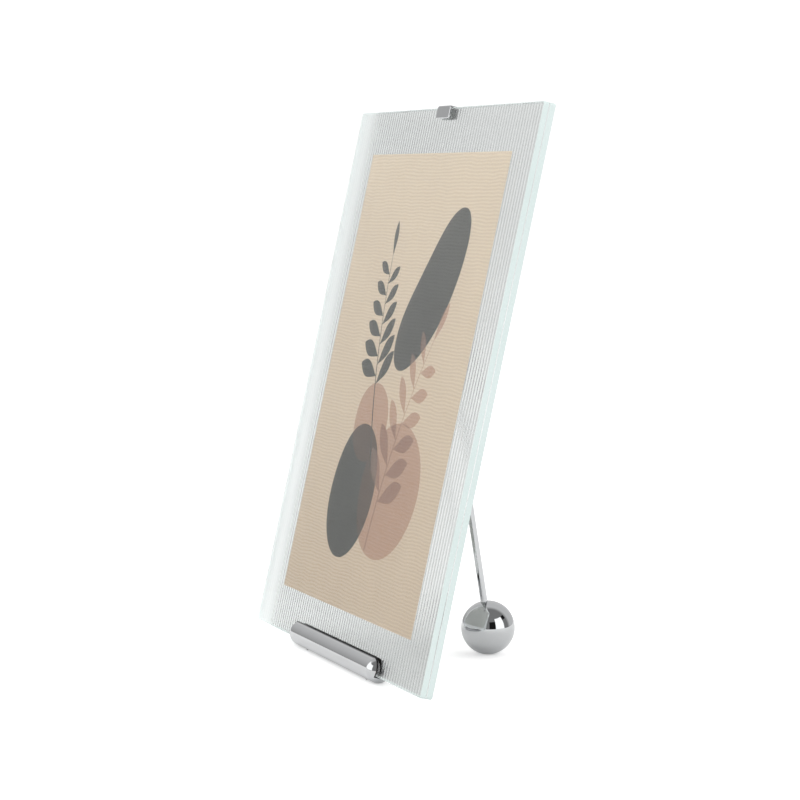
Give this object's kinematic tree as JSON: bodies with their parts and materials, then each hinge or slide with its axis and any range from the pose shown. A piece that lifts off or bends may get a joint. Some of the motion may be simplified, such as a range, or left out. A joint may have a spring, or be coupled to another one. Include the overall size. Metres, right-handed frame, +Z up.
{
  "type": "tabletop display easel",
  "caption": "Tabletop display easel: a print held between clear and reeded glass in a slotted round base bar, leaning back on a folding rod leg with a ball foot.",
  "frame": {"origin": "on the table, centred left to right and under the middle of the depth from the base bar's front to the ball's back", "axes": "+X to the viewer's right, +Y to the back, +Z up; the glass faces -Y and leans back"},
  "size_m": [0.264, 0.1098, 0.3028],
  "materials": {
    "chrome": "bright polished chrome plate",
    "front_glass": "clear float glass, ground and polished edges",
    "reeded_glass": "reeded glass, vertical ridges, ground and polished edges",
    "paper": "matt art paper with a printed abstract botanical picture",
    "silicone": "soft black silicone, matt",
    "steel": "satin stainless steel",
    "nylon": "natural nylon, satin",
    "adhesive": "clear cured acrylic adhesive"
  },
  "bodies": {
    "stand": {"base_bar": "chrome", "bar_liner": "silicone", "foot_pad_left": "silicone", "foot_pad_right": "silicone", "rear_pane": "reeded_glass", "bond_disc": "adhesive", "hinge_disc": "chrome", "clevis_screws": "steel", "hinge_clevis": "chrome", "hinge_pin": "steel", "pin_retainer": "steel", "friction_washer_left": "nylon", "friction_washer_right": "nylon"},
    "front_glass": {"front_pane": "front_glass"},
    "clip": {"top_clip": "chrome", "clip_liner": "silicone"},
    "print": {"art_print": "paper"},
    "leg": {"leg_knuckle": "chrome", "leg_rod": "chrome", "leg_ball": "chrome"}
  },
  "joints": [
    {"name": "leg_fold", "type": "hinge", "parent": "stand", "child": "leg", "pos_m": [0, 0.00949, 0.20299], "axis": [-1, 0, 0], "range_deg": [0, 20]},
    {"name": "front_glass_lift", "type": "slide", "parent": "stand", "child": "front_glass", "axis": [0, 0.2181, 0.9759], "range_m": [0, 0.012]},
    {"name": "clip_pull", "type": "slide", "parent": "front_glass", "child": "clip", "axis": [0, 0.2181, 0.9759], "range_m": [0, 0.008]},
    {"name": "print_slide", "type": "slide", "parent": "stand", "child": "print", "axis": [1, 0, 0], "range_m": [0, 0.234]}
  ]
}
